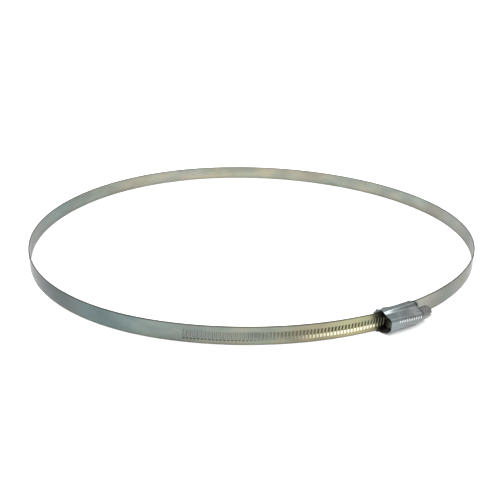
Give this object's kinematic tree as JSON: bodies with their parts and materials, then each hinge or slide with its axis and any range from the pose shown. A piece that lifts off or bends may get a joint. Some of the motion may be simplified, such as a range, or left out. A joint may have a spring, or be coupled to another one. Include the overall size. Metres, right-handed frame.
{
  "type": "hose clamp",
  "caption": "Worm-drive hose clamp: a slender steel band with pressed cross grooves, closed into a loop by a slotted hexagon-head worm screw in a folded sheet-steel housing.",
  "frame": {"origin": "middle of the bounding box, at its lowest point, with the clamp lying flat", "axes": "+Z along the axis of the hose, +X along the screw towards its head, +Y from the housing across the loop"},
  "size_m": [0.35, 0.3614, 0.0148],
  "materials": {
    "band_steel": "zinc-plated strip, satin, with a faint yellow passivate along the grooves",
    "housing_steel": "zinc-plated pressing, satin, bluish grey",
    "screw_steel": "zinc-plated cold-headed screw, satin"
  },
  "bodies": {
    "clamp_head": {"housing": "housing_steel", "saddle": "housing_steel", "band_fixed_end": "band_steel"},
    "tail": {"threaded_tail": "band_steel"},
    "band_arc_01": {"band_arc_01": "band_steel"},
    "band_arc_02": {"band_arc_02": "band_steel"},
    "band_arc_03": {"band_arc_03": "band_steel"},
    "band_arc_04": {"band_arc_04": "band_steel"},
    "band_arc_05": {"band_arc_05": "band_steel"},
    "band_arc_06": {"band_arc_06": "band_steel"},
    "band_arc_07": {"band_arc_07": "band_steel"},
    "band_arc_08": {"band_arc_08": "band_steel"},
    "band_arc_09": {"band_arc_09": "band_steel"},
    "band_arc_10": {"band_arc_10": "band_steel"},
    "band_arc_11": {"band_arc_11": "band_steel"},
    "band_arc_12": {"band_arc_12": "band_steel"},
    "screw": {"worm_screw": "screw_steel"}
  },
  "joints": [
    {"name": "band_feed", "type": "hinge", "parent": "clamp_head", "child": "tail", "pos_m": [0.00377, 0.01657, 0.0074], "axis": [0, 0, 1], "range_deg": [-3.7, 31]},
    {"name": "band_flex_01", "type": "hinge", "parent": "tail", "child": "band_arc_01", "pos_m": [-0.13065, -0.11343, 0.0074], "axis": [0, 0, 1], "range_deg": [-2.85, 0.36]},
    {"name": "band_flex_02", "type": "hinge", "parent": "band_arc_01", "child": "band_arc_02", "pos_m": [-0.16657, -0.05376, 0.0074], "axis": [0, 0, 1], "range_deg": [-2.62, 0.33]},
    {"name": "band_flex_03", "type": "hinge", "parent": "band_arc_02", "child": "band_arc_03", "pos_m": [-0.17301, 0.01904, 0.0074], "axis": [0, 0, 1], "range_deg": [-2.48, 0.31]},
    {"name": "band_flex_04", "type": "hinge", "parent": "band_arc_03", "child": "band_arc_04", "pos_m": [-0.14257, 0.09859, 0.0074], "axis": [0, 0, 1], "range_deg": [-2.45, 0.31]},
    {"name": "band_flex_05", "type": "hinge", "parent": "band_arc_04", "child": "band_arc_05", "pos_m": [-0.07922, 0.15782, 0.0074], "axis": [0, 0, 1], "range_deg": [-2.56, 0.32]},
    {"name": "band_flex_06", "type": "hinge", "parent": "band_arc_05", "child": "band_arc_06", "pos_m": [-0.00729, 0.17992, 0.0074], "axis": [0, 0, 1], "range_deg": [-2.72, 0.34]},
    {"name": "band_flex_07", "type": "hinge", "parent": "band_arc_06", "child": "band_arc_07", "pos_m": [0.0608, 0.16924, 0.0074], "axis": [0, 0, 1], "range_deg": [-2.85, 0.36]},
    {"name": "band_flex_08", "type": "hinge", "parent": "band_arc_07", "child": "band_arc_08", "pos_m": [0.12458, 0.12474, 0.0074], "axis": [0, 0, 1], "range_deg": [-2.91, 0.36]},
    {"name": "band_flex_09", "type": "hinge", "parent": "band_arc_08", "child": "band_arc_09", "pos_m": [0.16731, 0.048, 0.0074], "axis": [0, 0, 1], "range_deg": [-2.82, 0.35]},
    {"name": "band_flex_10", "type": "hinge", "parent": "band_arc_09", "child": "band_arc_10", "pos_m": [0.17183, -0.0351, 0.0074], "axis": [0, 0, 1], "range_deg": [-2.6, 0.33]},
    {"name": "band_flex_11", "type": "hinge", "parent": "band_arc_10", "child": "band_arc_11", "pos_m": [0.14411, -0.10079, 0.0074], "axis": [0, 0, 1], "range_deg": [-2.33, 0.3]},
    {"name": "band_flex_12", "type": "hinge", "parent": "band_arc_11", "child": "band_arc_12", "pos_m": [0.09065, -0.14748, 0.0074], "axis": [0, 0, 1], "range_deg": [-2.07, 0.26]},
    {"name": "screw_turn", "type": "hinge", "parent": "clamp_head", "child": "screw", "pos_m": [0.00377, -0.17473, 0.0067], "axis": [-1, 0, 0], "range_deg": [-1982, 16598]}
  ],
  "couplings": [
    {"joint": "band_flex_01", "follows": "band_feed", "ratio": -0.0912},
    {"joint": "band_flex_02", "follows": "band_feed", "ratio": -0.0838},
    {"joint": "band_flex_03", "follows": "band_feed", "ratio": -0.0792},
    {"joint": "band_flex_04", "follows": "band_feed", "ratio": -0.0784},
    {"joint": "band_flex_05", "follows": "band_feed", "ratio": -0.0819},
    {"joint": "band_flex_06", "follows": "band_feed", "ratio": -0.087},
    {"joint": "band_flex_07", "follows": "band_feed", "ratio": -0.0912},
    {"joint": "band_flex_08", "follows": "band_feed", "ratio": -0.0932},
    {"joint": "band_flex_09", "follows": "band_feed", "ratio": -0.0904},
    {"joint": "band_flex_10", "follows": "band_feed", "ratio": -0.0831},
    {"joint": "band_flex_11", "follows": "band_feed", "ratio": -0.0745},
    {"joint": "band_flex_12", "follows": "band_feed", "ratio": -0.0661},
    {"joint": "screw_turn", "follows": "band_feed", "ratio": 535.36}
  ]
}
